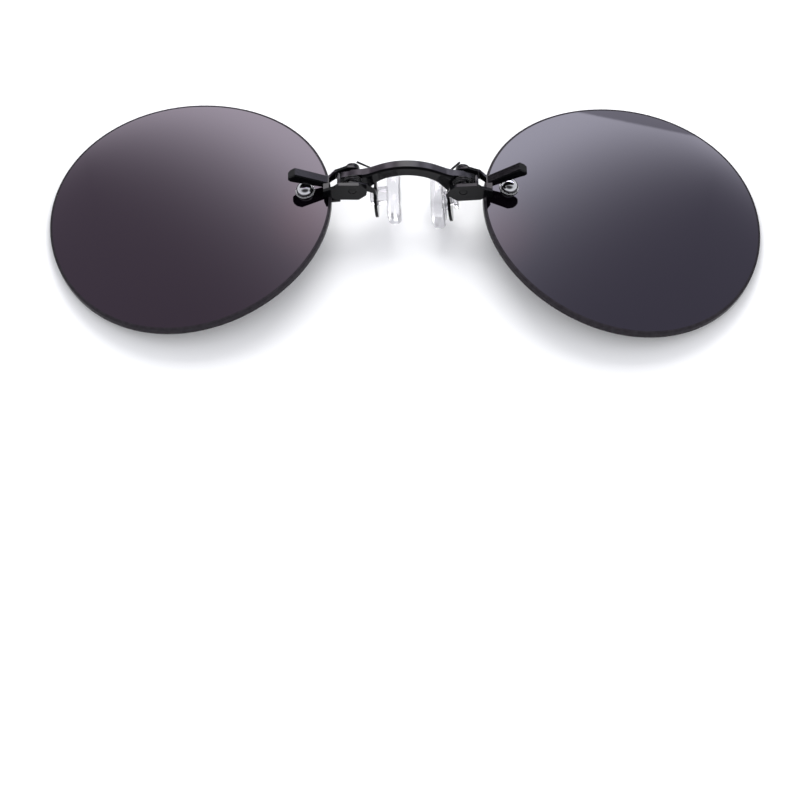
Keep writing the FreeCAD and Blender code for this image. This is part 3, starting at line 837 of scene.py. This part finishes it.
def make_spring(name, wire):
    """The torsion spring: an open coil round the pin, a leg behind the bridge and its hook."""
    side = SIDES[name]
    points = []
    steps = round(COIL_TURNS * COIL_STEPS)
    for i in range(steps + 1):
        turn = i / COIL_STEPS
        angle = 2 * math.pi * (turn - COIL_TURNS) - math.pi / 2
        x = COIL_RADIUS * math.cos(angle)
        z = COIL_RADIUS * math.sin(angle)
        points.append((x, COIL_START + turn * COIL_PITCH, z))
    points += [*SPRING_LEG, *SPRING_HOOKS[name]]
    data = bpy.data.curves.new(name + "_coil_spring", "CURVE")
    data.dimensions = "3D"
    data.bevel_depth = WIRE_RADIUS * MM
    data.bevel_resolution = WIRE_STEPS
    data.use_fill_caps = True
    data.materials.append(wire)
    spline = data.splines.new("POLY")
    spline.points.add(len(points) - 1)
    pivot = Vector((side * PIVOT[0], 0, PIVOT[1]))
    for target, (u, y, z) in zip(spline.points, points):
        target.co = (*((pivot + Vector((side * u, y, z))) * MM), 1)
    spring = bpy.data.objects.new(name + "_coil_spring", data)
    bpy.context.scene.collection.objects.link(spring)
    finish_piece(spring, "frame", "spring_steel", name + "_torsion_spring")


# The cushion's half sizes in X, Y and Z, and its reach from the paddle, less a push on one side.
PAD_HALF = (1.125, 5.25, 2.6)
PAD_PUSH = {"left": 0.0, "right": 1.0}
PAD_REACH = 2.69
PAD_Y = {"left": 2.7, "right": 3.1}
BUTTON_GAP = {"left": 0.0, "right": 0.35}
PAD_ROUND = 1.0
PAD_POINTS = 72
PAD_STEPS = 7
PAD_SWEEP = 80
# How far in from the outline, and how deep, the moulded channel and the crown have their points.
PAD_CHANNEL = ((1.75, 0.12), (1.6, 0.12), (1.45, 0.0), (1.0, 0.0))
PAD_CROWN = ((1.2, 0.01), (1.7, 0.0), (2.2, 0.0))
# Half size in Y, half size in Z and edge rounding of the blocks behind the cushion.
PAD_STEM = (1.25, 1.1, 0.25)
PAD_NECK = (0.63, 0.63, 0.12)
PAD_BUTTON = (1.15, 1.15, 0.25)
BUTTON_THICK = 0.75
# How far one block runs into the next, and the gap each keeps from the metal paddle.
STEM_BITE = 0.4
NECK_BITE = 0.3
STEM_GAP = 0.02
BUTTON_LIFT = 0.01


def stadium(half_long, half_wide, inset):
    """An outline in Y and Z with round ends, drawn in by an inset."""
    straight = half_long - half_wide
    radius = half_wide - inset
    points = []
    for i in range(PAD_POINTS):
        angle = 2 * math.pi * (i + 0.5) / PAD_POINTS
        end = math.copysign(straight, math.cos(angle))
        points.append((end + radius * math.cos(angle), radius * math.sin(angle)))
    return points


def cushion(middle_x, y, inward):
    """The pad's cushion: crowned towards the nose, with a shallow moulded channel behind."""
    half_x, half_y, half_z = PAD_HALF
    edge = half_x - PAD_ROUND
    lower = arc((0, 0), PAD_ROUND, -PAD_SWEEP, 0, PAD_STEPS)
    upper = arc((0, 0), PAD_ROUND, 0, PAD_SWEEP, PAD_STEPS)
    section = [(inset, depth - half_x) for inset, depth in PAD_CHANNEL]
    section += [(PAD_ROUND - a, b - edge) for a, b in lower]
    section += [(PAD_ROUND - a, b + edge) for a, b in upper]
    section += [(inset, half_x - depth) for inset, depth in PAD_CROWN]
    rings = []
    for inset, x in section:
        outline = stadium(half_y, half_z, inset)
        rings.append([(middle_x + inward * x, y + a, PAD_DEPTH + b) for a, b in outline])
    return stack_rings(rings)


def block(low, high, width):
    """A box with rounded edges between two corners in millimetres."""
    shape = bmesh.new()
    bmesh.ops.create_cube(shape, size=1.0)
    span = [b - a for a, b in zip(low, high)]
    middle = [(a + b) / 2 for a, b in zip(low, high)]
    for vert in shape.verts:
        vert.co = Vector([(m + c * s) * MM for m, c, s in zip(middle, vert.co, span)])
    round_off(shape, shape.edges[:], width, BLOCK_STEPS, clamp=False)
    return shape


def united(name, shapes, material):
    """One closed skin round several overlapping solids."""
    pieces = [add_mesh(name, from_bmesh(name, shape), material) for shape in shapes]
    whole = pieces[0]
    for other in pieces[1:]:
        union = whole.modifiers.new("union", "BOOLEAN")
        union.operation = "UNION"
        union.solver = "EXACT"
        union.object = other
    bake_modifiers(whole)
    for other in pieces[1:]:
        bpy.data.objects.remove(other)
    smooth(whole.data, JOINED)
    return whole


def make_pad(name, silicone):
    """The silicone nose pad: cushion, stem, neck through the paddle and rear button."""
    side = SIDES[name]
    outer = PADDLE_REACH[name]
    inner = outer + PADDLE_THICK
    middle = inner + PAD_REACH - PAD_PUSH[name]
    button = outer - BUTTON_GAP[name]
    half_x = PAD_HALF[0]

    def across(near, far, half_y, half_z, width):
        xs = sorted((-side * near, -side * far))
        low = (xs[0], STEM_Y - half_y, PAD_DEPTH - half_z)
        high = (xs[1], STEM_Y + half_y, PAD_DEPTH + half_z)
        return block(low, high, width)

    shapes = [
        cushion(-side * middle, PAD_Y[name], -side),
        across(inner + STEM_GAP, middle - half_x + STEM_BITE, *PAD_STEM),
        across(button - NECK_BITE, inner + NECK_BITE, *PAD_NECK),
        across(button - BUTTON_THICK, button - BUTTON_LIFT, *PAD_BUTTON),
    ]
    pad = united(name + "_silicone_pad", shapes, silicone)
    pad.data.transform(arm_frame(name))
    finish_piece(pad, name + "_clamp", "clear_silicone", name + "_nose_pad")


make_camera()
make_floor()
make_world()
make_soft_light("key", *KEY)
make_soft_light("fill", *FILL)
make_reflected_card()
make_dark_card()
bpy.context.scene.view_settings.view_transform = "Standard"

black_metal = finished("black_gloss_metal", black_gloss)
steel_metal = finished("polished_steel", bright_metal)
wire_metal = finished("spring_wire", spring_wire)
lens_front = finished("tinted_lens", lens_tint)
lens_edge = finished("ground_lens_edge", lens_rim)
plastic = finished("clear_plastic", clear_plastic)
silicone = finished("clear_silicone", clear_silicone)

bridge = refined_copy("bridge", "arched_bridge", BRIDGE_ROUND, black_metal)
finish_piece(bridge, "frame", "black_frame", "bridge")
for side_name in SIDES:
    make_lens(side_name, lens_front, lens_edge)
    make_screw_joint(side_name, black_metal, steel_metal, plastic)
    make_black_parts(side_name, black_metal)
    make_spring(side_name, wire_metal)
    make_pad(side_name, silicone)
